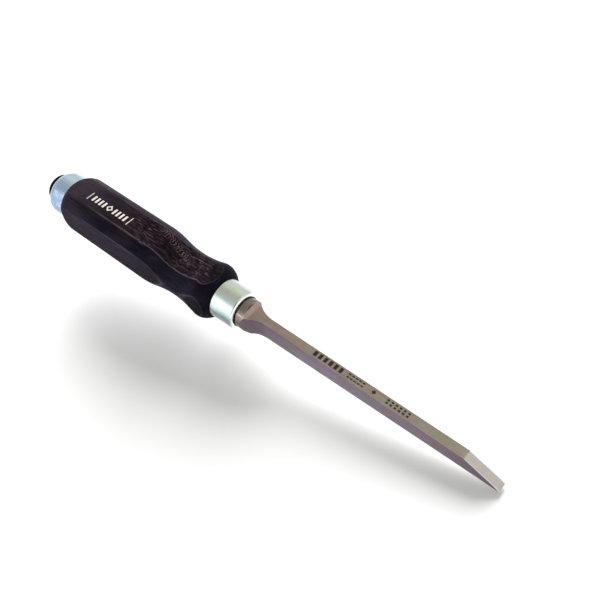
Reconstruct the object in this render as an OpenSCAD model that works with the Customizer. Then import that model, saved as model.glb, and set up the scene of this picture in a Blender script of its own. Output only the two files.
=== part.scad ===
// Mortise chisel: a one-piece steel blade in a dark hardwood handle, with a
// ferrule at the front and a striking hoop at the butt.
// Millimetres. +X runs from the butt to the cutting edge, +Z is the side the
// bevel is ground on, +Y and -Y are the two flanks.
// The origin is the middle of the whole tool, on the axis of the handle.

/* [Overall] */
// Length of the tool from the wooden butt to the cutting edge
total_length = 339; // [320:1:360]

/* [Blade] */
// Width of the blade at the cutting edge, the size the tool is sold by
blade_width = 6; // [5:0.5:10]
// Width of the blade where it leaves the neck
root_width = 5.2; // [4:0.1:6]
// Height of the bevel side above the handle axis
blade_top = 5.4; // [4.5:0.1:6.5]
// Depth of the back face below the handle axis at the neck
root_depth = 7.1; // [5:0.1:7.5]
// Depth of the back face below the handle axis at the cutting edge
edge_depth = 2.9; // [2:0.1:5]
// Length of the ground bevel along the tool
bevel_length = 21.6; // [16:0.2:28]
// Length of the steeper honed bevel at the very edge
honed_length = 1.8; // [0.8:0.1:3]

/* [Bolster, neck and tang] */
// Diameter of the round bolster
bolster_d = 19; // [17:0.1:19.2]
// Length of the neck that flares from the blade out to the bolster
neck_length = 14.3; // [13:0.1:16]
// Length of the tang hidden in the handle
tang_length = 78; // [50:1:100]

/* [Handle] */
// Diameter of the turned barrel
barrel_d = 36.8; // [35:0.1:40]
// Diameter at the narrowest point of the waist
waist_d = 30.4; // [29:0.2:31]
// Diameter of the bulb in front of the waist
bulb_d = 35.3; // [34:0.1:36]
// Distance from the butt to the waist
waist_x = 123.6; // [118:0.1:125]
// Distance across the milled top and bottom faces on the barrel
milled_height = 32.2; // [31:0.2:33]
// Distance across the milled top and bottom faces at the waist
milled_waist = 24; // [22:0.2:26]
// Distance across the two flat flanks
flank_width = 31.4; // [31.2:0.2:33]
// Height by which the wooden butt stands out of the striking hoop
butt_rise = 4.5; // [3:0.1:6]

/* [Ferrule and striking hoop] */
// Diameter of the ferrule at its handle end
ferrule_d = 24.8; // [23.5:0.1:25.5]
// Diameter of the ferrule at its blade end
ferrule_front_d = 24.2; // [23:0.1:24.8]
// Length of the ferrule
ferrule_length = 16.5; // [15:0.1:18]
// Diameter of the striking hoop
hoop_d = 28.8; // [27:0.1:30]
// Length of the striking hoop
hoop_length = 17.4; // [12:0.1:18]

/* [Hidden] */
$fn = 128;
// Radii of the wooden tenons that hold the two rings
rear_tenon_r = 10;
front_tenon_r = 10.3;
// Opening in the ferrule's lip, clear of the bolster all round
lip_opening_r = 9.8;
lip_thick = 1.2;
lip_round = 1.6;
hoop_round = 6;
butt_round = 2.4;
// Radii of the curves along the handle
shoulder_round = 9;
barrel_blend_r = 60;
waist_blend_r = 72;
bulb_round = 8.9;
// Straight wood between the rounded bulb and the ferrule
collar_r = 12;
milled_blend_r = 40;
milled_waist_r = 48;
milled_front = 29.5;
// Radii of the concave flares at the neck
flank_flare_r = 20;
top_flare_r = 3.6;
back_flare_r = 9;
// Stations along the tool, measured from the butt
hoop_x = butt_rise;
body_x = hoop_x + hoop_length;
ferrule_x = waist_x + 28.9;
ferrule_end_x = ferrule_x + ferrule_length;
bolster_x = ferrule_end_x - lip_thick;
blade_x = ferrule_end_x + 5.1 + neck_length;
top_flare_x = blade_x - 10.8;
back_flare_x = blade_x - 6.4;
bevel_x = total_length - bevel_length;
barrel_r = barrel_d / 2;
waist_r = waist_d / 2;
bulb_r = bulb_d / 2;
bolster_r = bolster_d / 2;
honed_rise = honed_length * tan(35);

// Distance along the axis between the tops of two arcs that touch
function arc_run(r1, r2, drop) = sqrt(pow(r1 + r2, 2) - pow(r1 + r2 - drop, 2));

// Depth of an arc at a distance from its top
function arc_drop(r, run) = r - sqrt(r * r - run * run);

bulb_x = waist_x + arc_run(waist_blend_r, bulb_round, bulb_r - waist_r);
// Stations of the milled faces: end of the barrel, where the two arcs meet,
// and where the waist arc has risen to the height over the bulb
milled_run = arc_run(milled_blend_r, milled_waist_r, (milled_height - milled_waist) / 2);
milled_left_x = waist_x - milled_run;
milled_join_x = waist_x - milled_run * milled_waist_r / (milled_blend_r + milled_waist_r);
milled_rise = (milled_front - milled_waist) / 2;
milled_right_x = waist_x + sqrt(2 * milled_waist_r * milled_rise - milled_rise * milled_rise);
milled_step = (milled_right_x - milled_left_x) / 36;

blade();
handle();
ferrule();
striking_hoop();

// Moves stations measured from the butt to the shared origin
module place() {
    translate([-total_length / 2, 0, 0]) children();
}

// Turns an outline, drawn as [station, radius], about the tool's axis
module turn() {
    rotate([0, 90, 0]) rotate_extrude() mirror([1, -1]) children();
}

// Extrudes an outline drawn as [station, height] across the whole width
module side_view(width) {
    rotate([90, 0, 0]) linear_extrude(height = width, center = true) children();
}

// Extrudes an outline drawn as [station, offset] through the whole height
module plan_view(height) {
    linear_extrude(height = height, center = true) children();
}

// Rectangle between two stations and two heights
module panel(x0, x1, y0, y1) {
    translate([x0, y0]) square([x1 - x0, y1 - y0]);
}

// Outline from x0 to x1 that dips from one height to a low waist and rises
// to another, with convex blends on both sides of one concave arc
module waisted(x0, x1, base, left, low, right, r_left, r_low, r_right) {
    left_x = waist_x - arc_run(r_left, r_low, left - low);
    right_x = waist_x + arc_run(r_low, r_right, right - low);
    left_join = left_x + (waist_x - left_x) * r_left / (r_left + r_low);
    right_join = waist_x + (right_x - waist_x) * r_low / (r_low + r_right);
    difference() {
        panel(x0, right_x, base, left);
        translate([waist_x, low + r_low]) circle(r = r_low);
        difference() {
            panel(left_x, left_join, low, left + 1);
            translate([left_x, left - r_left]) circle(r = r_left);
        }
        panel(right_join, right_x + 1, low - 1, left + 1);
    }
    intersection() {
        union() {
            translate([right_x, right - r_right]) circle(r = r_right);
            panel(waist_x, x1, base, right - r_right);
            panel(right_x, x1, base, right);
        }
        panel(right_join - 2, x1, base, right);
    }
    panel(x0, x1, base, low - 2);
}

// Envelope that rounds the shoulder behind the ferrule and the one at the hoop
module rounded_ends() {
    rear_x = body_x - 3 + shoulder_round;
    panel(rear_x, bulb_x, 0, barrel_r);
    panel(body_x, rear_x, 0, barrel_r - shoulder_round);
    translate([rear_x, barrel_r - shoulder_round]) circle(r = shoulder_round);
    panel(bulb_x, ferrule_x, 0, collar_r);
    translate([bulb_x, bulb_r - bulb_round]) circle(r = bulb_round);
}

// Handle body as it leaves the lathe
module turned_body() {
    turn() intersection() {
        waisted(body_x, ferrule_x, 0, barrel_r, waist_r, bulb_r,
                barrel_blend_r, waist_blend_r, bulb_round);
        rounded_ends();
        panel(body_x, ferrule_x, 0, barrel_r);
    }
}

// Height of the milled face at a station: barrel, convex blend, waist, bulb
function milled_z(x) =
    x < milled_left_x ? milled_height / 2 :
    x < milled_join_x ? milled_height / 2 - arc_drop(milled_blend_r, x - milled_left_x) :
    x < milled_right_x ? milled_waist / 2 + arc_drop(milled_waist_r, x - waist_x) :
    milled_front / 2;

// Space left between the milled top and bottom faces
module milled_space() {
    top = [for (x = [milled_left_x : milled_step : milled_right_x]) [x, milled_z(x)]];
    bottom = [for (i = [len(top) - 1 : -1 : 0]) [top[i][0], -top[i][1]]];
    side_view(50) polygon(concat(
        [[body_x - 1, -milled_height / 2], [body_x - 1, milled_height / 2]],
        top,
        [[ferrule_x + 1, milled_front / 2], [ferrule_x + 1, -milled_front / 2]],
        bottom
    ));
}

// Round tenon from one station to another, with its rear edge rounded
module tenon(x0, x1, r, edge) {
    turn() {
        panel(x0 + edge, x1, 0, r);
        panel(x0, x0 + edge, 0, r - edge);
        intersection() {
            translate([x0 + edge, r - edge]) circle(r = edge);
            panel(x0, x0 + edge, r - edge, r);
        }
    }
}

// Tapered tang, also used to cut its seat in the handle
module tang() {
    side_view(6) polygon([
        [bolster_x - tang_length, -2.5],
        [bolster_x, -4.5],
        [bolster_x, 4.5],
        [bolster_x - tang_length, 2.5]
    ]);
}

// Dark hardwood handle with a tenon at each end
module handle() {
    color([0.13, 0.09, 0.08]) place() difference() {
        union() {
            intersection() {
                turned_body();
                milled_space();
                translate([0, -flank_width / 2, -25]) cube([ferrule_x + 1, flank_width, 50]);
            }
            tenon(0, body_x + 1, rear_tenon_r, butt_round);
            turn() panel(ferrule_x - 1, bolster_x, 0, front_tenon_r);
        }
        tang();
    }
}

// Space above a face of the neck, with a concave arc rising to the bolster
module flare_space(foot_x, r, face) {
    difference() {
        panel(foot_x - r, blade_x + 1, face, 20);
        difference() {
            panel(foot_x - r - 1, foot_x, face, 20);
            translate([foot_x, face + r]) circle(r = r);
            panel(foot_x - r, foot_x + 1, face + r, 21);
        }
    }
}

// Round bolster that flares down into the flat blade
module bolster() {
    intersection() {
        turn() {
            panel(bolster_x + 2.2, blade_x, 0, bolster_r);
            polygon([
                [bolster_x, 0],
                [bolster_x + 2.2, 0],
                [bolster_x + 2.2, bolster_r],
                [bolster_x + 1.8, bolster_r - 0.4],
                [bolster_x, bolster_r - 0.4]
            ]);
        }
        plan_view(30) difference() {
            panel(bolster_x, blade_x, -15, 15);
            for (side = [-1, 1])
                translate([blade_x, side * (root_width / 2 + flank_flare_r)])
                    circle(r = flank_flare_r);
        }
        side_view(30) difference() {
            panel(bolster_x, blade_x, -15, 15);
            flare_space(top_flare_x, top_flare_r, blade_top);
            mirror([0, 1]) flare_space(back_flare_x, back_flare_r, root_depth);
        }
    }
}

// Flat tapering blade with its ground bevel and the steeper honed bevel
module blade_bar() {
    intersection() {
        side_view(30) polygon([
            [blade_x, -root_depth],
            [total_length, -edge_depth],
            [total_length - honed_length, honed_rise - edge_depth],
            [bevel_x, blade_top],
            [blade_x, blade_top]
        ]);
        plan_view(30) polygon([
            [blade_x, -root_width / 2],
            [total_length, -blade_width / 2],
            [total_length, blade_width / 2],
            [blade_x, root_width / 2]
        ]);
    }
}

// One-piece steel forging: tang, bolster, neck and blade
module blade() {
    color([0.58, 0.54, 0.48]) place() {
        tang();
        bolster();
        blade_bar();
    }
}

// Zinc-plated ferrule, slightly tapered, with a rounded lip turned in at the front
module ferrule() {
    front_r = ferrule_front_d / 2;
    round_x = ferrule_end_x - lip_round;
    color([0.72, 0.78, 0.76]) place() difference() {
        turn() intersection() {
            polygon([
                [ferrule_x, 0],
                [ferrule_x, ferrule_d / 2],
                [ferrule_end_x, front_r],
                [ferrule_end_x, 0]
            ]);
            union() {
                panel(ferrule_x, round_x, 0, ferrule_d / 2);
                panel(ferrule_x, ferrule_end_x, 0, front_r - lip_round);
                translate([round_x, front_r - lip_round]) circle(r = lip_round);
            }
        }
        turn() panel(ferrule_x - 1, bolster_x, 0, front_tenon_r);
        turn() panel(bolster_x - 1, ferrule_end_x + 1, 0, lip_opening_r);
    }
}

// Zinc-plated striking hoop, its rear edge rounded over
module striking_hoop() {
    color([0.72, 0.80, 0.86]) place() turn() difference() {
        union() {
            panel(hoop_x + hoop_round, body_x, 0, hoop_d / 2);
            panel(hoop_x, hoop_x + hoop_round, 0, hoop_d / 2 - hoop_round);
            intersection() {
                translate([hoop_x + hoop_round, hoop_d / 2 - hoop_round]) circle(r = hoop_round);
                panel(hoop_x, hoop_x + hoop_round, 0, hoop_d / 2);
            }
        }
        panel(hoop_x - 1, body_x + 1, 0, rear_tenon_r);
    }
}
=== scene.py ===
"""Looks of the mortise chisel: blade, handle, ferrule and striking hoop.

Shapes are worked out in millimetres along the tool, measured from the butt, and
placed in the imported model's frame: +X to the cutting edge, +Z the bevelled side.
"""

import math

import bpy
from mathutils import Matrix, Vector


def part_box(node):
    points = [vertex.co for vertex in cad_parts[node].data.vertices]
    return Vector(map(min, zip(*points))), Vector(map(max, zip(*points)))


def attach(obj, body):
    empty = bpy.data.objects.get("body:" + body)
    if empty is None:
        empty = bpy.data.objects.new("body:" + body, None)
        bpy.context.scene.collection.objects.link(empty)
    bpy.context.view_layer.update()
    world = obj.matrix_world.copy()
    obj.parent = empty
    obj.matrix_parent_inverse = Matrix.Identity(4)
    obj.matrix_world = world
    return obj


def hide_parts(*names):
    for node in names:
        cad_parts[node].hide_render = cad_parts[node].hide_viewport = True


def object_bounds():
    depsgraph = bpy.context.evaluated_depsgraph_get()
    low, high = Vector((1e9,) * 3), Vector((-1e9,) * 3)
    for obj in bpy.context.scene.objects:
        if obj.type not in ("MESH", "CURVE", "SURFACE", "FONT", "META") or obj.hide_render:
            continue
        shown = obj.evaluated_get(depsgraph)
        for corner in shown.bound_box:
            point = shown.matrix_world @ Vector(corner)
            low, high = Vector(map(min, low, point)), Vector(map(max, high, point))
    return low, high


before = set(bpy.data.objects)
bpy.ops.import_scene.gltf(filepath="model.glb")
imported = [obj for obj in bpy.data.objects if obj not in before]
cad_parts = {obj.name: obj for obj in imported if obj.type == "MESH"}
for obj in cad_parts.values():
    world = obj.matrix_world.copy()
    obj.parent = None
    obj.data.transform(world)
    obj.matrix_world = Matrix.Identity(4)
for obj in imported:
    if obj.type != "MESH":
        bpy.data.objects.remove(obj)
cad_low, cad_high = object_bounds()

MM = 0.001
# Station of the frame's origin, measured from the butt
ORIGIN = -cad_low.x / MM
LENGTH = (cad_high.x - cad_low.x) / MM


def station(value):
    """Distance from the butt, in millimetres, of an x in the frame."""
    return value / MM + ORIGIN


hoop_low, hoop_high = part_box("striking_hoop")
ferrule_low, ferrule_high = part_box("ferrule")
handle_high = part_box("handle")[1]
blade_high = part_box("blade")[1]

# ---------------------------------------------------------------- dimensions

HOOP_X = station(hoop_low.x)
BODY_X = station(hoop_high.x)
HOOP_R = hoop_high.z / MM
FERRULE_X = station(ferrule_low.x)
FERRULE_END = station(ferrule_high.x)
FERRULE_R = ferrule_high.z / MM
FERRULE_TAPER = 0.3
FERRULE_FRONT_R = FERRULE_R - FERRULE_TAPER
# Thickness of the lip turned in at the front of the ferrule
LIP = 1.2
BOLSTER_R = blade_high.z / MM
FLANK = handle_high.y / MM
TOP = handle_high.z / MM

BARREL_R = 18.4
WAIST_R = 15.2
BULB_R = 17.65
WAIST_X = FERRULE_X - 28.9
COLLAR_R = 12.0
STUB_R = 10.0
SHOULDER_ROUND = 9.0
# How far under the hoop the arc of the rear shoulder starts
SHOULDER_UNDER_HOOP = 3
BARREL_BLEND = 60.0
WAIST_BLEND = 72.0
BULB_ROUND = 8.9
MILLED_WAIST = 12.0
MILLED_FRONT = 14.75
# Rise of the milled top in front of the waist, for each millimetre along
MILLED_RISE = 0.02
MILLED_BLEND = 40.0
MILLED_WAIST_R = 48.0

BLADE_X = FERRULE_END + 19.4
ROOT_HALF = 2.6
EDGE_HALF = 3.0
BLADE_TOP = 5.4
ROOT_DEPTH = 7.1
EDGE_DEPTH = 2.9
BEVEL_LENGTH = 21.6
HONED_LENGTH = 1.8
HONED_ANGLE = 35
BEVEL_X = LENGTH - BEVEL_LENGTH
HONED_X = LENGTH - HONED_LENGTH
HONED_Z = HONED_LENGTH * math.tan(math.radians(HONED_ANGLE)) - EDGE_DEPTH
FLANK_FLARE = 20.0
TOP_FLARE = 3.6
TOP_FLARE_X = BLADE_X - 10.8
BACK_FLARE = 9.0
BACK_FLARE_X = BLADE_X - 6.4


def arc_run(r1, r2, drop):
    """Distance along the axis between the tops of two arcs that touch."""
    return math.sqrt((r1 + r2) ** 2 - (r1 + r2 - drop) ** 2)


def arc_drop(radius, run):
    """Depth of an arc at a distance from its top."""
    return radius - math.sqrt(max(radius * radius - run * run, 0.0))


BLEND_X = WAIST_X - arc_run(BARREL_BLEND, WAIST_BLEND, BARREL_R - WAIST_R)
BLEND_JOIN = BLEND_X + (WAIST_X - BLEND_X) * BARREL_BLEND / (BARREL_BLEND + WAIST_BLEND)
BULB_X = WAIST_X + arc_run(WAIST_BLEND, BULB_ROUND, BULB_R - WAIST_R)
BULB_JOIN = WAIST_X + (BULB_X - WAIST_X) * WAIST_BLEND / (WAIST_BLEND + BULB_ROUND)
SHOULDER_X = BODY_X - SHOULDER_UNDER_HOOP + SHOULDER_ROUND
MILLED_RUN = arc_run(MILLED_BLEND, MILLED_WAIST_R, TOP - MILLED_WAIST)
MILLED_X = WAIST_X - MILLED_RUN
MILLED_JOIN = WAIST_X - MILLED_RUN * MILLED_WAIST_R / (MILLED_BLEND + MILLED_WAIST_R)


def turned_radius(x):
    """Radius of the turned handle at a station."""
    if x < SHOULDER_X:
        return BARREL_R - arc_drop(SHOULDER_ROUND, SHOULDER_X - x)
    if x < BLEND_X:
        return BARREL_R
    if x < BLEND_JOIN:
        return BARREL_R - arc_drop(BARREL_BLEND, x - BLEND_X)
    if x < BULB_JOIN:
        return WAIST_R + arc_drop(WAIST_BLEND, x - WAIST_X)
    return max(BULB_R - arc_drop(BULB_ROUND, x - BULB_X), COLLAR_R)


def milled_height(x):
    """Height of the milled top face at a station."""
    if x < MILLED_X:
        return TOP
    if x < MILLED_JOIN:
        return TOP - arc_drop(MILLED_BLEND, x - MILLED_X)
    rise = arc_drop(MILLED_WAIST_R, x - WAIST_X)
    return min(MILLED_WAIST + rise, MILLED_FRONT + MILLED_RISE * max(x - WAIST_X, 0))


# ------------------------------------------------------------------- meshes


def to_frame(x, y, z):
    return ((x - ORIGIN) * MM, y * MM, z * MM)


def mesh_object(name, verts, faces, smooth_angle):
    mesh = bpy.data.meshes.new(name)
    mesh.from_pydata([to_frame(*v) for v in verts], [], faces)
    mesh.validate()
    mesh.update()
    mesh.shade_smooth()
    mesh.set_sharp_from_angle(angle=math.radians(smooth_angle))
    obj = bpy.data.objects.new(name, mesh)
    bpy.context.scene.collection.objects.link(obj)
    return obj


def loft(name, rings, smooth_angle, closed=False):
    """Skins equal rings of points, and caps both ends unless it is closed."""
    count = len(rings[0])
    verts = [p for ring in rings for p in ring]
    faces = []
    spans = len(rings) if closed else len(rings) - 1
    for i in range(spans):
        a, b = i * count, ((i + 1) % len(rings)) * count
        for j in range(count):
            k = (j + 1) % count
            faces.append((a + j, a + k, b + k, b + j))
    if not closed:
        faces.append(tuple(reversed(range(count))))
        faces.append(tuple(range((len(rings) - 1) * count, len(rings) * count)))
    return mesh_object(name, verts, faces, smooth_angle)


def circle_ring(x, radius, segments):
    return [
        (x, radius * math.sin(a), radius * math.cos(a))
        for a in (2 * math.pi * k / segments for k in range(segments))
    ]


RING_SEGMENTS = 192


def ring_piece(name, outline):
    """A ring turned from a closed outline of (station, radius) points."""
    return loft(name, [circle_ring(x, r, RING_SEGMENTS) for x, r in outline], 35, True)


def arc(cx, cr, radius, start, end, steps):
    """Points of an arc in the (station, radius) plane, angles in degrees."""
    out = []
    for k in range(steps + 1):
        a = math.radians(start + (end - start) * k / steps)
        out.append((cx + radius * math.cos(a), cr + radius * math.sin(a)))
    return out


def spaced(start, end, step):
    count = max(2, round((end - start) / step))
    return [start + (end - start) * k / count for k in range(count + 1)]


# ------------------------------------------------------------ handle pieces

EDGE_SOFTNESS = 120
# How far, in millimetres, the wear reaches from an arris
ARRIS_REACH = 0.65
HANDLE_SEGMENTS = 320


def handle_ring(x, wear):
    """Section of the handle: a circle cut by four flats, edges eased.

    Adds to wear how near each point is to an arris between two surfaces.
    """
    radius = turned_radius(x)
    height = milled_height(x)
    ring = []
    for k in range(HANDLE_SEGMENTS):
        a = 2 * math.pi * k / HANDLE_SEGMENTS
        s, c = abs(math.sin(a)), abs(math.cos(a))
        milled, flank = radius * c / height, radius * s / FLANK
        second, first = sorted((1.0, milled, flank))[1:]
        wear.append(max(0.0, 1.0 - radius * (first - second) / ARRIS_REACH))
        total = 1.0 + milled**EDGE_SOFTNESS + flank**EDGE_SOFTNESS
        r = radius * total ** (-1.0 / EDGE_SOFTNESS)
        ring.append((x, r * math.sin(a), r * math.cos(a)))
    return ring


def make_handle():
    stub_r, stub_edge = STUB_R - 0.05, 2.4
    rings = []
    for x, r in arc(stub_edge, stub_r - stub_edge, stub_edge, 180, 90, 10):
        rings.append(circle_ring(x, r, HANDLE_SEGMENTS))
    rings.append(circle_ring(BODY_X, stub_r, HANDLE_SEGMENTS))
    rings.append(circle_ring(BODY_X, HOOP_R - 0.2, HANDLE_SEGMENTS))
    stations = spaced(BODY_X + 0.02, SHOULDER_X, 0.35)
    stations += spaced(SHOULDER_X, BULB_X, 0.5)[1:]
    stations += spaced(BULB_X, FERRULE_X - 0.02, 0.2)[1:]
    wear = [0.0] * (len(rings) * HANDLE_SEGMENTS)
    rings += [handle_ring(x, wear) for x in stations]
    tenon_end, tenon_r, tenon_face_r = FERRULE_END - LIP - 0.05, 10.25, 7.0
    rings.append(circle_ring(FERRULE_X, tenon_r, HANDLE_SEGMENTS))
    rings.append(circle_ring(tenon_end, tenon_r, HANDLE_SEGMENTS))
    rings.append(circle_ring(tenon_end, tenon_face_r, HANDLE_SEGMENTS))
    obj = loft("turned_handle", rings, 40)
    wear += [0.0] * (len(rings) * HANDLE_SEGMENTS - len(wear))
    obj.data.attributes.new("arris", "FLOAT", "POINT").data.foreach_set("value", wear)
    return obj


def make_ferrule():
    rounding, edge, bore_r = 1.6, 0.25, 10.3
    mouth_r, mouth_edge = 9.8, 0.15
    front = FERRULE_FRONT_R
    outline = [(FERRULE_X, bore_r), (FERRULE_X, FERRULE_R - edge)]
    outline += arc(FERRULE_X + edge, FERRULE_R - edge, edge, 180, 90, 4)[1:]
    for k in range(1, 12):
        t = k / 12
        x = FERRULE_X + edge + (FERRULE_END - rounding - FERRULE_X - edge) * t
        outline.append((x, FERRULE_R + (front - FERRULE_R) * t))
    outline += arc(FERRULE_END - rounding, front - rounding, rounding, 90, 0, 12)
    outline += [(FERRULE_END, mouth_r + mouth_edge), (FERRULE_END - mouth_edge, mouth_r)]
    outline += [(FERRULE_END - LIP, mouth_r), (FERRULE_END - LIP, bore_r)]
    return ring_piece("zinc_ferrule", outline)


def make_hoop():
    rounding, edge = 6.0, 0.3
    inner = math.degrees(math.asin((STUB_R - HOOP_R + rounding) / rounding))
    outline = arc(HOOP_X + rounding, HOOP_R - rounding, rounding, 180 - inner, 90, 26)
    for k in range(1, 8):
        outline.append((HOOP_X + rounding + (BODY_X - edge - HOOP_X - rounding) * k / 8, HOOP_R))
    outline += arc(BODY_X - edge, HOOP_R - edge, edge, 90, 0, 5)
    outline.append((BODY_X, STUB_R))
    return ring_piece("zinc_striking_hoop", outline)


# -------------------------------------------------------------------- blade


# Steps along each flat and round the corner of a quarter section
FLAT_STEPS = 8
CORNER_STEPS = 10
# Radius that leaves a section its corners
NO_CIRCLE = 1e6


def quadrant(w, h, radius, ease):
    """Outline of a quarter section from the top middle to the side middle.

    The section is a rectangle of half sizes w and h inside a circle; where its
    corner is inside the circle it is eased by a small arc.
    """
    w, h = min(w, radius), min(h, radius)
    pts = []
    if w * w + h * h < radius * radius:
        ease = min(ease, w * 0.5, h * 0.5)
        for k in range(FLAT_STEPS):
            pts.append(((w - ease) * k / FLAT_STEPS, h))
        for k in range(CORNER_STEPS + 1):
            a = math.pi / 2 * k / CORNER_STEPS
            pts.append((w - ease + ease * math.sin(a), h - ease + ease * math.cos(a)))
        for k in range(1, FLAT_STEPS):
            pts.append((w, (h - ease) * (1 - k / FLAT_STEPS)))
        return pts
    x1 = math.sqrt(radius * radius - h * h)
    z2 = math.sqrt(radius * radius - w * w)
    a1, a2 = math.atan2(x1, h), math.atan2(w, z2)
    for k in range(FLAT_STEPS):
        pts.append((x1 * k / FLAT_STEPS, h))
    for k in range(CORNER_STEPS + 1):
        a = a1 + (a2 - a1) * k / CORNER_STEPS
        pts.append((radius * math.sin(a), radius * math.cos(a)))
    for k in range(1, FLAT_STEPS):
        pts.append((w, z2 * (1 - k / FLAT_STEPS)))
    return pts


def section(x, w, top, bottom, radius, ease):
    """Whole section at a station; top and bottom are heights of its faces."""
    middle = (top + bottom) / 2 if radius == NO_CIRCLE else 0.0
    up = quadrant(w, top - middle, radius, ease)
    down = quadrant(w, middle - bottom, radius, ease)
    pts = [(x, p, middle + q) for p, q in up]
    pts += [(x, p, middle - q) for p, q in [(down[-1][0], 0.0)] + down[:0:-1]]
    pts += [(x, -p, middle - q) for p, q in down]
    pts += [(x, -p, middle + q) for p, q in [(up[-1][0], 0.0)] + up[:0:-1]]
    return pts


def flare(radius, run):
    """Rise of a concave flare at a distance behind its foot."""
    if run <= 0:
        return 0.0
    if run >= radius:
        return 99.0
    return radius - math.sqrt(radius * radius - run * run)


def make_blade():
    ease = 0.22
    start = FERRULE_END - LIP
    rear_r = BOLSTER_R - 0.4
    rings = [circle_section(start + 0.02, rear_r), circle_section(start + 1.6, rear_r)]
    for x in spaced(start + 2.0, BLADE_X, 0.16):
        w = ROOT_HALF + flare(FLANK_FLARE, BLADE_X - x)
        top = BLADE_TOP + flare(TOP_FLARE, TOP_FLARE_X - x)
        bottom = -ROOT_DEPTH - flare(BACK_FLARE, BACK_FLARE_X - x)
        rings.append(section(x, w, top, bottom, BOLSTER_R, ease))
    stations = spaced(BLADE_X, BEVEL_X, 2.0)[1:] + spaced(BEVEL_X, HONED_X, 1.0)[1:]
    stations += [LENGTH - 0.9, LENGTH]
    for x in stations:
        t = (x - BLADE_X) / (LENGTH - BLADE_X)
        w = ROOT_HALF + (EDGE_HALF - ROOT_HALF) * t
        bottom = -ROOT_DEPTH + (ROOT_DEPTH - EDGE_DEPTH) * t
        if x <= BEVEL_X:
            top = BLADE_TOP
        elif x <= HONED_X:
            top = BLADE_TOP + (HONED_Z - BLADE_TOP) * (x - BEVEL_X) / (HONED_X - BEVEL_X)
        else:
            top = HONED_Z + (-EDGE_DEPTH + 0.03 - HONED_Z) * (x - HONED_X) / (LENGTH - HONED_X)
        small = min(ease, (top - bottom) * 0.2)
        rings.append(section(x, w, top, bottom, NO_CIRCLE, small))
    return loft("steel_blade", rings, 28)


def circle_section(x, radius):
    return section(x, radius * 2, radius * 2, -radius * 2, radius, 0.1)


# ---------------------------------------------------------- material helpers


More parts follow.
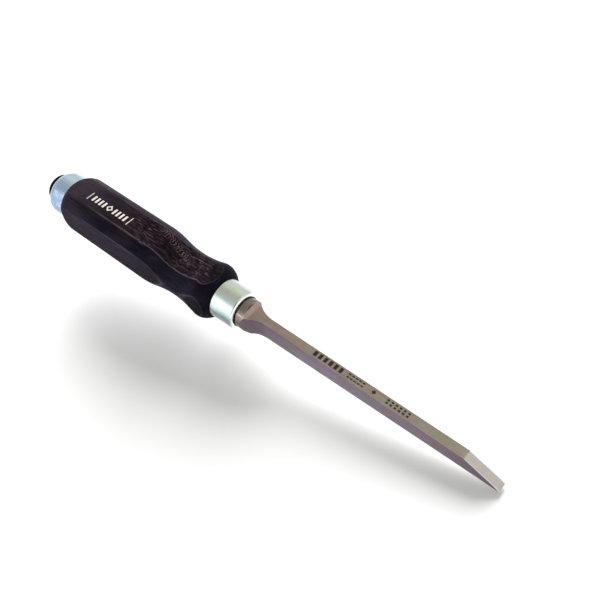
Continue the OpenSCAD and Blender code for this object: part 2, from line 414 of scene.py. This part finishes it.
class Graph:
    """Short names for building one material's nodes."""

    def __init__(self, name):
        self.material = bpy.data.materials.new(name)
        self.material.use_nodes = True
        self.tree = self.material.node_tree
        self.tree.nodes.clear()
        self.shader = self.node("ShaderNodeBsdfPrincipled")
        out = self.node("ShaderNodeOutputMaterial")
        self.tree.links.new(self.shader.outputs[0], out.inputs[0])
        coords = self.node("ShaderNodeTexCoord")
        scaled = self.node("ShaderNodeVectorMath", operation="SCALE")
        scaled.inputs["Scale"].default_value = 1 / MM
        self.tree.links.new(coords.outputs["Object"], scaled.inputs[0])
        split = self.node("ShaderNodeSeparateXYZ")
        self.tree.links.new(scaled.outputs[0], split.inputs[0])
        self.x, self.y, self.z = split.outputs
        normal = self.node("ShaderNodeSeparateXYZ")
        self.tree.links.new(coords.outputs["Normal"], normal.inputs[0])
        self.nx, self.ny, self.nz = normal.outputs

    def node(self, kind, **settings):
        made = self.tree.nodes.new(kind)
        for key, value in settings.items():
            setattr(made, key, value)
        return made

    def put(self, socket, value):
        if isinstance(value, bpy.types.NodeSocket):
            self.tree.links.new(value, socket)
        elif isinstance(value, (tuple, list)) and len(value) == 3 and socket.type == "RGBA":
            socket.default_value = (*value, 1.0)
        else:
            socket.default_value = value

    def math(self, operation, a, b=0.0):
        made = self.node("ShaderNodeMath", operation=operation)
        for socket, value in zip(made.inputs, (a, b)):
            self.put(socket, value)
        return made.outputs[0]

    def vector(self, x, y, z):
        made = self.node("ShaderNodeCombineXYZ")
        for socket, value in zip(made.inputs, (x, y, z)):
            self.put(socket, value)
        return made.outputs[0]

    def stretched(self, sx, sy, sz):
        """The place in millimetres, scaled along each axis."""
        return self.vector(
            self.math("MULTIPLY", self.x, sx),
            self.math("MULTIPLY", self.y, sy),
            self.math("MULTIPLY", self.z, sz),
        )

    def noise(self, stretch, detail, roughness=0.5, distortion=0.0):
        """Noise over the place in millimetres, scaled along each axis."""
        place = self.stretched(*stretch)
        made = self.node("ShaderNodeTexNoise")
        self.put(made.inputs["Vector"], place)
        made.inputs["Scale"].default_value = 1.0
        made.inputs["Detail"].default_value = detail
        made.inputs["Roughness"].default_value = roughness
        made.inputs["Distortion"].default_value = distortion
        return made.outputs["Fac"]

    def span(self, value, low, high, out_low=0.0, out_high=1.0, smooth=True):
        made = self.node("ShaderNodeMapRange")
        made.interpolation_type = "SMOOTHSTEP" if smooth else "LINEAR"
        for key, item in zip(
            ("Value", "From Min", "From Max", "To Min", "To Max"),
            (value, low, high, out_low, out_high),
        ):
            self.put(made.inputs[key], item)
        return made.outputs[0]

    def mix(self, factor, a, b, blend="MIX"):
        made = self.node("ShaderNodeMix", data_type="RGBA", blend_type=blend)
        self.put(made.inputs[0], factor)
        self.put(made.inputs[6], a)
        self.put(made.inputs[7], b)
        return made.outputs[2]

    def ramp(self, factor, stops):
        made = self.node("ShaderNodeValToRGB")
        self.put(made.inputs[0], factor)
        elements = made.color_ramp.elements
        while len(elements) < len(stops):
            elements.new(0.5)
        for element, (place, colour) in zip(elements, stops):
            element.position = place
            element.color = (*colour, 1.0)
        return made.outputs[0]

    def bump(self, height, strength, distance, normal=None):
        made = self.node("ShaderNodeBump")
        made.inputs["Strength"].default_value = strength
        made.inputs["Distance"].default_value = distance
        self.put(made.inputs["Height"], height)
        if normal is not None:
            self.put(made.inputs["Normal"], normal)
        return made.outputs[0]

    def band(self, value, low, high, edge):
        """One between low and high, falling to nought over edge on both sides."""
        rise = self.span(value, low - edge, low + edge)
        fall = self.span(value, high - edge, high + edge, 1.0, 0.0)
        return self.math("MULTIPLY", rise, fall)

    def product(self, *values):
        total = values[0]
        for value in values[1:]:
            total = self.math("MULTIPLY", total, value)
        return total

    def most(self, *values):
        total = values[0]
        for value in values[1:]:
            total = self.math("MAXIMUM", total, value)
        return total


# ----------------------------------------------------------------- materials


# Middle of the printed band on the handle, and the pitch of its bars
MARK_X = 57.5
MARK_Y = -1.55
BAR_PITCH = 3.2


def handle_mark(g):
    """A plain printed band: even bars on both sides of a lozenge, with a rule at each end."""
    edge = 0.15
    along = g.math("ABSOLUTE", g.math("SUBTRACT", g.math("ADD", g.x, ORIGIN), MARK_X))
    across = g.math("ABSOLUTE", g.math("SUBTRACT", g.y, MARK_Y))
    bar = g.math("FRACT", g.math("DIVIDE", along, BAR_PITCH))
    bars = g.product(g.band(bar, 0.26, 0.74, 0.04), g.band(along, BAR_PITCH, 5 * BAR_PITCH, edge))
    bars = g.product(bars, g.band(g.y, MARK_Y - 2.25, MARK_Y + 2.25, edge))
    rules = g.band(g.y, MARK_Y - 3.25, MARK_Y + 3.25, edge)
    rules = g.product(g.band(along, 18.0, 18.6, edge), rules)
    lozenge = g.band(g.math("ADD", along, across), 1.4, 2.6, 0.2)
    top = g.span(g.z, 10.0, 11.0)
    worn = g.span(g.noise((0.9, 1.6, 1.0), 4.0), 0.28, 0.42, 0.35, 1.0)
    return g.product(g.most(rules, bars, lozenge), top, worn)


def wood_material():
    g = Graph("stained_hornbeam")
    x = g.math("ADD", g.x, ORIGIN)
    # Flecks of grain that run along the milled top, dark and light
    flecks = g.noise((0.19, 1.15, 0.30), 2.0, 0.55)
    finer = g.noise((0.36, 1.40, 0.30), 2.0, 0.5)
    light_flecks = g.most(g.span(flecks, 0.57, 0.66), g.product(g.span(finer, 0.59, 0.67), 0.9))
    dark_flecks = g.span(flecks, 0.52, 0.42)
    # One lane of ripples across the grain, which drifts to the near side
    across = g.math("ADD", g.y, g.math("MULTIPLY", g.math("SUBTRACT", x, 113.0), 0.21))
    across = g.math("SUBTRACT", across, 3.5)
    bow = g.product(across, across, 0.22)
    drift = g.noise((0.22, 0.45, 0.20), 2.0, 0.6)
    phase = g.math("DIVIDE", g.math("ADD", g.math("ADD", x, bow), g.product(drift, 5.0)), 1.9)
    ripples = g.span(g.math("SINE", g.math("MULTIPLY", phase, 2 * math.pi)), -0.1, 0.9)
    frayed = g.span(g.noise((0.16, 0.50, 0.20), 2.0), 0.34, 0.50)
    lane = g.product(g.band(across, -2.3, 2.3, 0.9), g.band(x, 98.0, 124.0, 5.0), frayed)
    faces_up = g.span(g.math("ABSOLUTE", g.nz), 0.80, 0.93)
    figured = g.product(faces_up, g.band(x, 76.0, 142.0, 12.0))
    patchy = g.span(g.noise((0.06, 0.22, 0.10), 2.0), 0.35, 0.60, 0.25, 1.0)
    flat = g.math("SUBTRACT", 1.0, lane)
    figure = g.most(g.product(light_flecks, patchy, flat, 0.75), g.product(ripples, lane))
    figure = g.product(figure, figured)
    hollow = g.most(g.product(dark_flecks, flat), g.product(g.math("SUBTRACT", 1.0, ripples), lane))
    hollow = g.product(hollow, figured)
    pores = g.noise((0.07, 1.3, 1.3), 3.0, 0.6)
    dark_pores = g.span(pores, 0.34, 0.52, 1.0, 0.0)
    broad = g.noise((0.05, 0.12, 0.12), 3.0)
    # Flank faces take a lighter, bluer base than the top: partly the stain, partly painted
    # reflection of bluish light on a flank in shade.
    upper = g.span(g.nz, 0.55, 0.95)
    dark = g.mix(upper, (0.0074, 0.0080, 0.0150), (0.0066, 0.0044, 0.0068))
    light = g.mix(upper, (0.0205, 0.0190, 0.0310), (0.0150, 0.0102, 0.0145))
    base = g.mix(g.span(broad, 0.32, 0.68), dark, light)
    # Painted sheen: the rear of the barrel and the far upper shoulders are lightened, most on faces
    # turned up, where they catch a grazing reflection.
    rear = g.span(x, 64.0, 20.0)
    shoulders = g.product(g.span(g.nz, 0.3, 0.8), g.span(g.y, 2.0, 12.0))
    painted_sheen = g.math("ADD", g.product(rear, 0.46), g.product(shoulders, 0.12))
    painted_sheen = g.product(painted_sheen, g.span(g.nz, 0.0, 0.6, 0.3, 1.0))
    base = g.mix(painted_sheen, base, (0.060, 0.042, 0.056))
    # Streaked base on the flanks: partly the grain, partly painted reflection, set for a flank in
    # shade.
    flanks = g.span(g.math("ABSOLUTE", g.ny), 0.92, 0.99)
    streaks = g.noise((0.05, 0.5, 0.75), 4.0, 0.65)
    streak_dark, streak_light = (0.0100, 0.0060, 0.0150), (0.0330, 0.0210, 0.0460)
    streaked = g.mix(g.span(streaks, 0.36, 0.64), streak_dark, streak_light)
    base = g.mix(g.product(flanks, 0.75), base, streaked)
    # Purple left where the stain lies thick
    thick = g.noise((0.10, 0.35, 0.35), 3.0, 0.6)
    base = g.mix(g.span(thick, 0.48, 0.70, 0.0, 0.5), base, (0.024, 0.014, 0.026))
    base = g.mix(g.product(g.span(x, 134.0, 146.0), 0.55), base, (0.0025, 0.0022, 0.0050))
    base = g.mix(g.product(hollow, 0.85), base, (0.0022, 0.0012, 0.0020))
    base = g.mix(g.product(figure, 0.9), base, (0.115, 0.074, 0.080))
    base = g.mix(g.product(dark_pores, 0.55), base, (0.003, 0.0020, 0.003))
    # Stain worn thin along the arrises, most of all beside the waist
    near = g.node("ShaderNodeAttribute", attribute_name="arris").outputs["Fac"]
    arris = g.product(g.span(near, 0.30, 0.95), g.band(x, 50.0, 148.0, 14.0))
    arris = g.product(arris, g.span(broad, 0.3, 0.6, 0.45, 1.0), g.span(g.y, -6.0, 6.0, 1.0, 0.35))
    base = g.mix(g.product(arris, 0.62), base, (0.105, 0.078, 0.094))
    mark = handle_mark(g)
    colour = g.mix(g.product(mark, 0.93), base, (0.60, 0.55, 0.49))
    # The sawn end of the rear tenon soaks up more stain
    end_grain = g.span(x, HOOP_X, HOOP_X + 1.0, 1.0, 0.0)
    colour = g.mix(end_grain, colour, (0.004, 0.004, 0.006))
    g.put(g.shader.inputs["Base Color"], colour)
    rough = g.span(g.noise((0.3, 0.8, 0.8), 3.0), 0.3, 0.7, 0.42, 0.58)
    g.put(g.shader.inputs["Roughness"], rough)
    g.shader.inputs["IOR"].default_value = 1.45
    g.shader.inputs["Specular IOR Level"].default_value = 0.02
    g.shader.inputs["Specular Tint"].default_value = (0.97, 0.68, 1.0, 1.0)
    height = g.math("ADD", g.product(dark_pores, -0.5), g.product(figure, 0.5))
    fine = g.bump(height, 0.35, 0.00015)
    waves = g.noise((0.08, 0.14, 0.14), 2.0)
    g.put(g.shader.inputs["Normal"], g.bump(waves, 0.2, 0.0006, fine))
    return g.material


def blade_mark(g):
    """Plain etched bars, squares and a lozenge on the bevelled side of the blade."""
    x = g.math("ADD", g.x, ORIGIN)
    y = g.y
    edge = 0.10
    # Two rows of squares, nearest the edge
    hatch = g.math("FRACT", g.math("DIVIDE", g.math("SUBTRACT", x, 269.0), 2.6))
    rows = g.most(g.band(y, -1.6, -0.35, edge), g.band(y, 0.35, 1.6, edge))
    squares = g.product(g.band(hatch, 0.08, 0.62, 0.05), g.band(x, 268.8, 284.6, edge), rows)
    away = g.math("ADD", g.math("ABSOLUTE", g.math("SUBTRACT", x, 261.0)), g.math("ABSOLUTE", y))
    lozenge = g.span(away, 1.3, 1.5, 1.0, 0.0)
    # Two dashed lines
    pair = g.most(g.band(y, -1.5, -0.6, edge), g.band(y, 0.6, 1.5, edge))
    pair = g.product(pair, g.band(x, 243.8, 255.2, edge))
    gap = g.math("FRACT", g.math("DIVIDE", x, 2.3))
    pair = g.product(pair, g.span(gap, 0.70, 0.80, 1.0, 0.0))
    # Broad bars, nearest the handle
    tick = g.math("FRACT", g.math("DIVIDE", x, 3.5))
    ticks = g.product(g.band(tick, 0.1, 0.7, 0.05), g.band(x, 219.5, 240.5, edge))
    ticks = g.product(ticks, g.band(y, -1.7, 1.7, edge))
    mark = g.most(squares, lozenge, pair, ticks)
    return g.product(mark, g.span(g.z, 5.1, 5.25))


def steel_material():
    g = Graph("ground_tool_steel")
    x = g.math("ADD", g.x, ORIGIN)
    lines = g.noise((0.05, 9.0, 9.0), 3.0, 0.6)
    cross = g.noise((7.0, 0.35, 0.35), 2.0, 0.6)
    mottle = g.noise((0.10, 0.35, 0.35), 4.0, 0.6, 0.5)
    cloud = g.span(mottle, 0.35, 0.65)
    along = g.span(x, BLADE_X, BEVEL_X, smooth=False)
    near = g.mix(cloud, (0.355, 0.265, 0.220), (0.415, 0.320, 0.265))
    far = g.mix(cloud, (0.410, 0.345, 0.285), (0.470, 0.400, 0.330))
    top_tint = g.mix(along, near, far)
    side_tint = g.mix(cloud, (0.172, 0.126, 0.164), (0.215, 0.162, 0.202))
    # Temper colours left faintly along the bar
    temper = g.noise((0.055, 0.12, 0.12), 4.0, 0.6, 0.4)
    top_tint = g.mix(g.span(temper, 0.52, 0.66, 0.0, 0.6), top_tint, (0.445, 0.340, 0.340))
    top_tint = g.mix(g.span(temper, 0.46, 0.34, 0.0, 0.6), top_tint, (0.400, 0.365, 0.240))
    side_tint = g.mix(g.span(temper, 0.52, 0.66, 0.0, 0.6), side_tint, (0.190, 0.128, 0.225))
    side_tint = g.mix(g.span(temper, 0.46, 0.34, 0.0, 0.6), side_tint, (0.160, 0.160, 0.180))
    # The flanks lighten toward the edge: painted light that offsets the floor's shadow they
    # reflect.
    side_tint = g.mix(g.span(x, 250.0, 330.0, 0.0, 0.75), side_tint, (0.290, 0.215, 0.285))
    # The flanks take the darker, purpler side tint: partly the ground finish, partly painted
    # reflection of the shaded floor beside the tool.
    faces_side = g.span(g.math("ABSOLUTE", g.nz), 0.12, 0.42, 1.0, 0.0)
    body = g.mix(faces_side, top_tint, side_tint)
    bevel = g.math("MULTIPLY", g.span(g.nx, 0.20, 0.30), g.span(x, BEVEL_X - 1, BEVEL_X))
    clouded = g.noise((0.30, 0.45, 0.20), 3.0, 0.6)
    ground = g.mix(g.span(clouded, 0.40, 0.60), (0.60, 0.56, 0.44), (0.56, 0.50, 0.54))
    honed = g.span(x, HONED_X - 0.2, HONED_X + 0.2)
    ground = g.mix(g.product(honed, 0.5), ground, (0.50, 0.48, 0.44))
    # Painted highlight on the edges round the bevel
    highlight_sides = g.span(g.math("ABSOLUTE", g.y), 2.35, 2.60)
    edge_highlight = g.most(highlight_sides, g.band(x, BEVEL_X - 1, BEVEL_X + 0.5, 0.2))
    body = g.mix(bevel, body, g.mix(g.product(edge_highlight, 0.75), ground, (0.90, 0.90, 0.92)))
    drum = g.span(x, TOP_FLARE_X - 4.2, TOP_FLARE_X - 3.0, 1.0, 0.0)
    body = g.mix(g.product(drum, 0.7), body, (0.205, 0.168, 0.135))
    # Painted glint in a thin line along the bolster, between its top and its flanks
    painted_glint = g.product(g.band(g.math("ABSOLUTE", g.y), 7.15, 7.55, 0.15), drum)
    body = g.mix(g.product(painted_glint, 0.9), body, (0.62, 0.58, 0.50))
    body = g.mix(g.span(lines, 0.4, 0.8, 0.0, 0.2), body, (0.50, 0.45, 0.41))
    mark = blade_mark(g)
    body = g.mix(g.product(mark, 0.88), body, (0.018, 0.012, 0.024))
    g.put(g.shader.inputs["Base Color"], body)
    g.shader.inputs["Metallic"].default_value = 1.0
    rough = g.span(lines, 0.3, 0.7, 0.30, 0.42)
    rough = g.math("ADD", rough, g.product(mark, 0.2))
    g.put(g.shader.inputs["Roughness"], rough)
    grain = g.mix(bevel, lines, cross)
    g.put(g.shader.inputs["Normal"], g.bump(grain, 0.25, 0.00004))
    return g.material


def zinc_material(name, stops):
    """Bright zinc plate, coloured round the ring partly by its passivated tint and partly by
    painted reflection bands.
    """
    g = Graph(name)
    # The colour follows the angle round the ring, so its light and dark bands are painted
    # reflections.
    turn = g.math("ARCTAN2", g.y, g.z)
    place = g.math("ADD", g.math("DIVIDE", turn, 2 * math.pi), 0.5)
    cloud = g.noise((0.06, 0.10, 0.10), 3.0, 0.55, 0.4)
    place = g.math("ADD", place, g.math("MULTIPLY", g.math("SUBTRACT", cloud, 0.5), 0.12))
    tint_and_painted_light = g.ramp(g.math("FRACT", place), stops)
    speck = g.noise((1.6, 1.6, 1.6), 3.0, 0.6)
    tint_and_painted_light = g.mix(g.span(speck, 0.55, 0.8, 0.0, 0.25), tint_and_painted_light, (0.80, 0.84, 0.84))
    stain = g.noise((0.16, 0.24, 0.24), 3.0, 0.6, 0.6)
    tint_and_painted_light = g.mix(g.span(stain, 0.50, 0.64, 0.0, 0.5), tint_and_painted_light, (0.72, 0.71, 0.78))
    tint_and_painted_light = g.mix(g.span(stain, 0.46, 0.30, 0.0, 0.35), tint_and_painted_light, (0.86, 0.88, 0.62), "MULTIPLY")
    # Painted highlight on the front edges, which face +X.
    edge_highlight = g.span(g.nx, 0.25, 0.75)
    tint_and_painted_light = g.mix(edge_highlight, tint_and_painted_light, (0.92, 0.95, 0.97))
    g.put(g.shader.inputs["Base Color"], tint_and_painted_light)
    g.shader.inputs["Metallic"].default_value = 1.0
    lathe = g.noise((5.0, 0.05, 0.05), 2.0, 0.5)
    rough = g.span(speck, 0.3, 0.7, 0.22, 0.33)
    rough = g.math("SUBTRACT", rough, g.span(g.nx, 0.05, 0.3, 0.0, 0.12))
    g.put(g.shader.inputs["Roughness"], rough)
    height = g.math("ADD", g.product(lathe, 0.6), g.product(speck, 0.4))
    g.put(g.shader.inputs["Normal"], g.bump(height, 0.16, 0.00006))
    return g.material


def floor_material():
    g = Graph("pale_paper")
    fibre = g.noise((0.02, 0.02, 0.02), 3.0)
    g.put(g.shader.inputs["Base Color"], g.mix(fibre, (0.64, 0.64, 0.64), (0.66, 0.66, 0.66)))
    g.shader.inputs["Roughness"].default_value = 0.9
    g.shader.inputs["Specular IOR Level"].default_value = 0.1
    return g.material


# -------------------------------------------------------------------- pieces

handle = make_handle()
blade = make_blade()
ferrule = make_ferrule()
hoop = make_hoop()

handle.data.materials.append(wood_material())
blade.data.materials.append(steel_material())
# Stops round the ring: the plate's tint with painted reflection bands and a painted highlight
# toward the near flank.
ferrule.data.materials.append(
    zinc_material(
        "passivated_zinc",
        [
            (0.0, (0.50, 0.58, 0.57)),
            (0.247, (0.36, 0.45, 0.48)),
            (0.297, (0.50, 0.64, 0.65)),
            (0.36, (0.72, 0.84, 0.83)),
            (0.40, (0.76, 0.90, 0.86)),
            (0.45, (0.73, 0.76, 0.66)),
            (0.50, (0.68, 0.74, 0.60)),
            (0.54, (0.74, 0.79, 0.75)),
            (0.61, (0.66, 0.70, 0.66)),
            (0.80, (0.52, 0.60, 0.58)),
            (1.0, (0.50, 0.58, 0.57)),
        ],
    )
)
# Stops round the ring: blue plate with painted lighter and darker reflection bands.
hoop.data.materials.append(
    zinc_material(
        "blue_zinc",
        [
            (0.0, (0.44, 0.57, 0.70)),
            (0.22, (0.24, 0.31, 0.42)),
            (0.30, (0.27, 0.38, 0.53)),
            (0.42, (0.40, 0.55, 0.76)),
            (0.50, (0.64, 0.80, 0.92)),
            (0.60, (0.53, 0.67, 0.84)),
            (1.0, (0.44, 0.57, 0.70)),
        ],
    )
)

for piece, node, slot in (
    (handle, "handle", "stained_wood"),
    (blade, "blade", "blade_steel"),
    (ferrule, "ferrule", "ferrule_zinc"),
    (hoop, "striking_hoop", "hoop_zinc"),
):
    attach(piece, "root")
    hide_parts(node)

# --------------------------------------------------------- floor and lights

# The tool points down to the floor: the edge is just clear of it and the butt
# stands higher, so that the floor falls away toward the butt in this frame.
FLOOR_TIP = -(EDGE_DEPTH + 1.5) * MM
FLOOR_BUTT = -0.052
FLOOR_HALF = 6
FLOOR_SLOPE = (FLOOR_TIP - FLOOR_BUTT) / (LENGTH * MM)


def floor_point(x, y):
    return (x, y, FLOOR_TIP + FLOOR_SLOPE * (x - cad_high.x))


floor_mesh = bpy.data.meshes.new("floor")
floor_mesh.from_pydata(
    [floor_point(x * FLOOR_HALF, y * FLOOR_HALF) for x, y in ((-1, -1), (1, -1), (1, 1), (-1, 1))],
    [],
    [(0, 1, 2, 3)],
)
floor = bpy.data.objects.new("floor", floor_mesh)
floor_mesh.materials.append(floor_material())
bpy.context.scene.collection.objects.link(floor)

# A broad soft light from beyond the far flank whitens the floor and throws the
# shadow; it is kept out of reflections, which come from the graded studio.
KEY_WAY = Vector((-0.685, 0.655, 0.32))
key_data = bpy.data.lights.new("key", "SUN")
key_data.energy = 9.6
key_data.angle = math.radians(39)
key = bpy.data.objects.new("key", key_data)
key.location = KEY_WAY
key.rotation_mode = "QUATERNION"
key.rotation_quaternion = (-KEY_WAY).to_track_quat("-Z", "Y")
key.visible_glossy = False
bpy.context.scene.collection.objects.link(key)


def make_studio():
    world = bpy.data.worlds.new("studio")
    world.use_nodes = True
    tree = world.node_tree
    tree.nodes.clear()

    def node(kind, **settings):
        made = tree.nodes.new(kind)
        for key, value in settings.items():
            setattr(made, key, value)
        return made

    def ranged(value, low, high):
        made = node("ShaderNodeMapRange", interpolation_type="SMOOTHSTEP")
        made.inputs["From Min"].default_value = low
        made.inputs["From Max"].default_value = high
        tree.links.new(value, made.inputs["Value"])
        return made.outputs[0]

    def blended(factor, a, b):
        made = node("ShaderNodeMix", data_type="RGBA")
        tree.links.new(factor, made.inputs[0])
        for socket, value in ((made.inputs[6], a), (made.inputs[7], b)):
            if isinstance(value, tuple):
                socket.default_value = (*value, 1.0)
            else:
                tree.links.new(value, socket)
        return made.outputs[2]

    def toward(direction):
        made = node("ShaderNodeVectorMath", operation="DOT_PRODUCT")
        tree.links.new(coords.outputs["Generated"], made.inputs[0])
        made.inputs[1].default_value = Vector(direction).normalized()
        return made.outputs["Value"]

    coords = node("ShaderNodeTexCoord")
    sky = blended(ranged(toward((0, 0, 1)), 0.15, 0.95), (0.72, 0.77, 0.80), (0.50, 0.50, 0.46))
    sky = blended(ranged(toward((-0.44, 0.75, 0.5)), 0.75, 1.0), sky, (0.76, 0.80, 0.72))
    sky = blended(ranged(toward((0.5, 0.4, 0.77)), 0.70, 1.0), sky, (0.95, 0.93, 0.90))
    sky = blended(ranged(toward((0.9, -0.3, 0.3)), 0.85, 0.97), sky, (1.5, 1.5, 1.5))
    sky = blended(ranged(toward((-0.44, -0.86, 0.27)), 0.86, 0.985), sky, (1.55, 1.58, 1.60))
    sky = blended(ranged(toward((0.33, -0.48, 0.81)), 0.93, 0.985), sky, (0.06, 0.06, 0.07))
    background = node("ShaderNodeBackground")
    tree.links.new(sky, background.inputs["Color"])
    out = node("ShaderNodeOutputWorld")
    tree.links.new(background.outputs[0], out.inputs[0])
    return world


world = make_studio()
bpy.context.scene.world = world

# ------------------------------------------------------------------- camera

SENSOR = 36.0
# Focal length and width of the image, in the same unit
FOCAL = 800
IMAGE_WIDTH = 590
CAMERA_PLACE = (0.21837, -0.18993, 0.35803)

camera_data = bpy.data.cameras.new("camera")
camera_data.sensor_width = SENSOR
camera_data.lens = SENSOR * FOCAL / IMAGE_WIDTH
camera_data.clip_start = 0.01
camera_data.clip_end = 50.0
camera = bpy.data.objects.new("camera", camera_data)
# The camera's own axes in the frame
right = Vector((0.75791233, 0.65125609, -0.03787355))
down = Vector((0.48254161, -0.59874368, -0.63926489))
ahead = Vector((-0.4390017, 0.46623118, -0.76805338))
camera.matrix_world = Matrix.Translation(CAMERA_PLACE) @ Matrix(
    ((right.x, -down.x, -ahead.x), (right.y, -down.y, -ahead.y), (right.z, -down.z, -ahead.z))
).to_4x4()
bpy.context.scene.collection.objects.link(camera)
bpy.context.scene.camera = camera
bpy.context.scene.view_settings.view_transform = "Standard"
